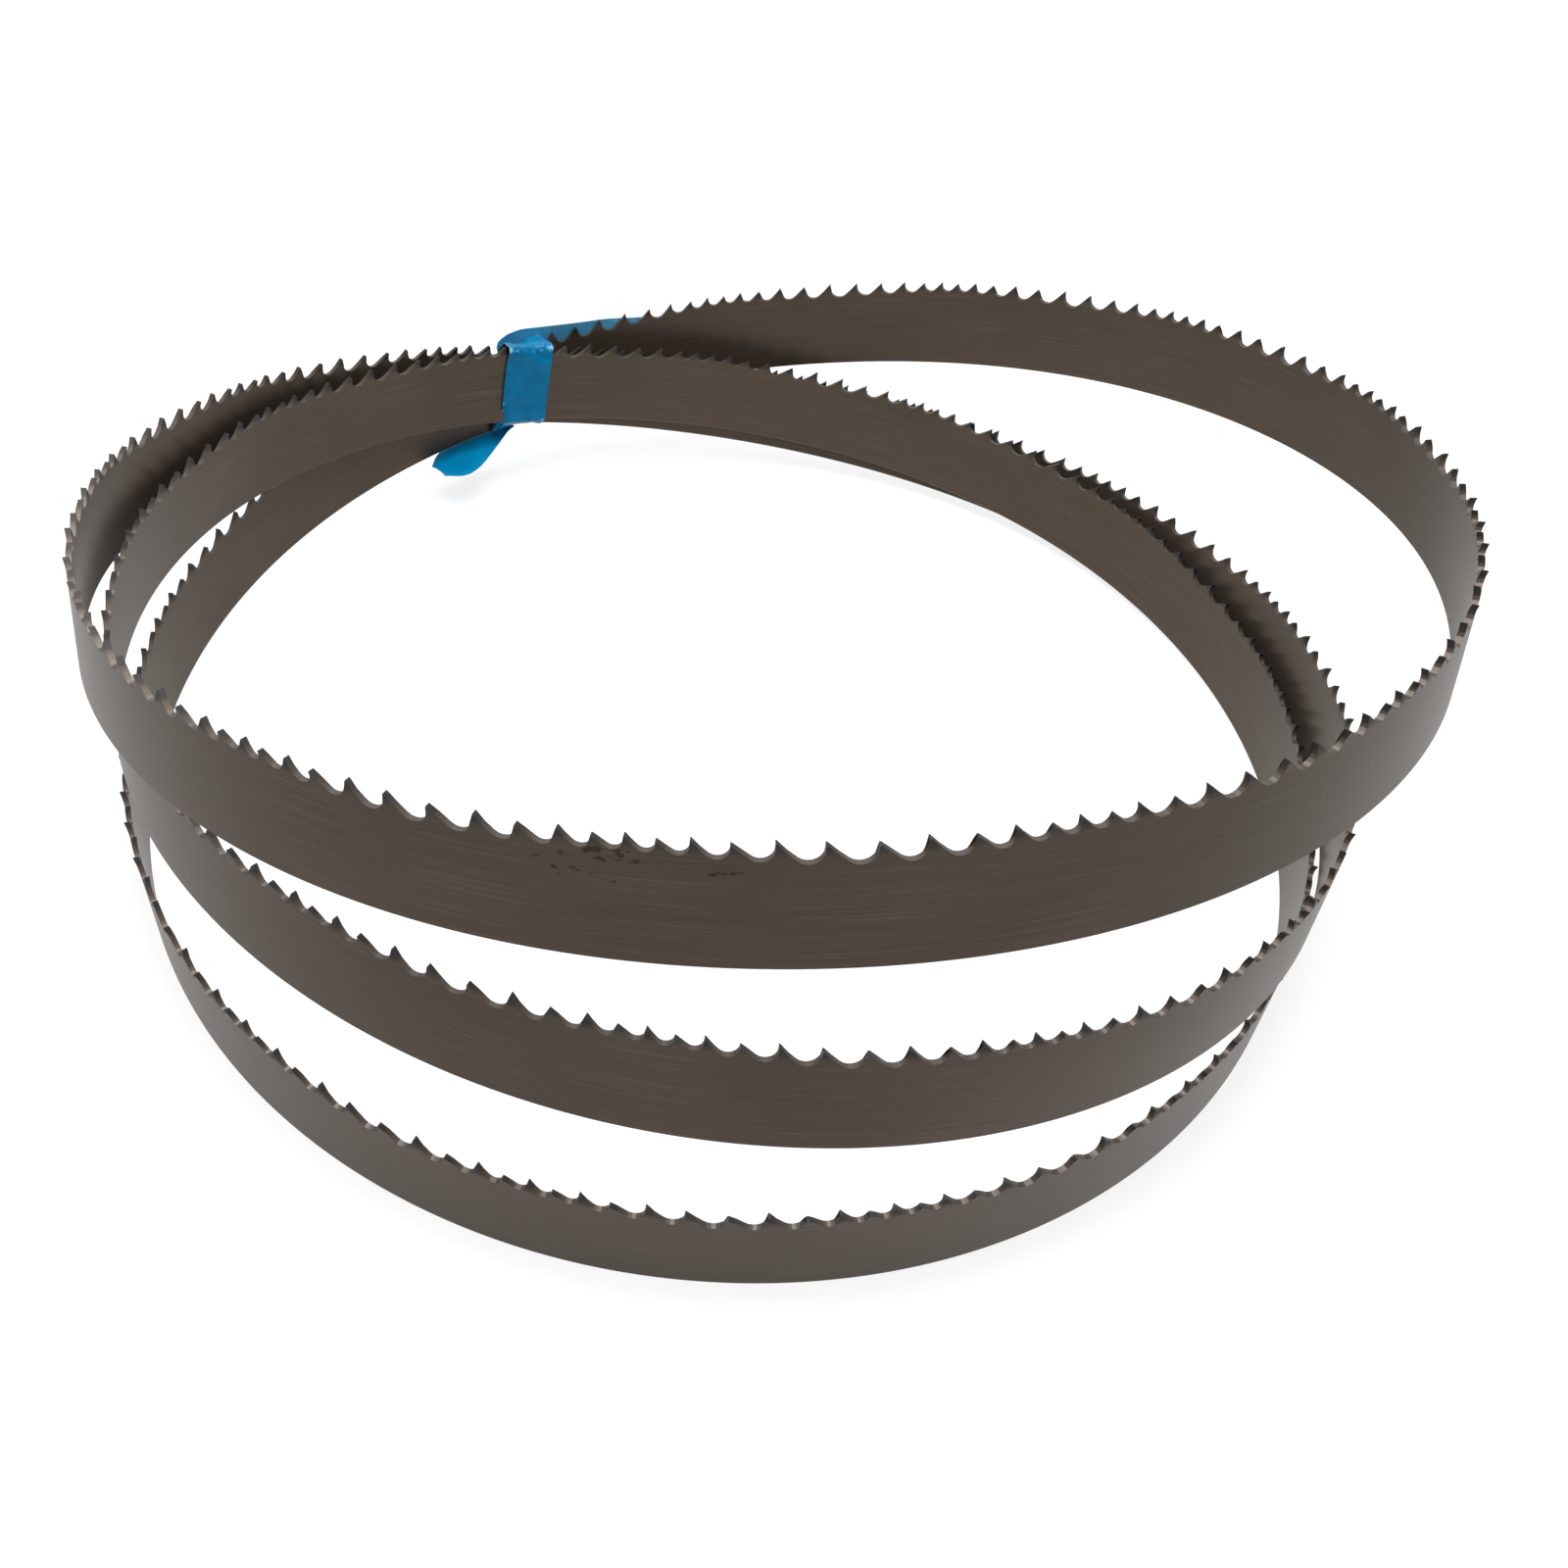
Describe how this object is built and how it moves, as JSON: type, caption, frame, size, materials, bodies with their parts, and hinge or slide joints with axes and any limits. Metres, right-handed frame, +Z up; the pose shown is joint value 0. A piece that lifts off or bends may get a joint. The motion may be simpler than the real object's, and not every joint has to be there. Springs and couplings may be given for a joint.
{
  "type": "band saw blade",
  "caption": "Coiled band saw blade: a closed toothed steel band lying in three turns, gathered with blue adhesive tape.",
  "frame": {"origin": "on the surface that the coil lies on, under the middle of the coil", "axes": "+Z up, the way the teeth point; the high side of the first turn is towards -Y, and the tape is at the back left, towards +Y and -X"},
  "size_m": [0.1574, 0.1558, 0.0638],
  "materials": {
    "band_steel": "ground, brownish tempered steel",
    "blue_tape": "glossy film"
  },
  "bodies": {
    "root": {"band": "band_steel", "tape": "blue_tape"}
  },
  "joints": []
}
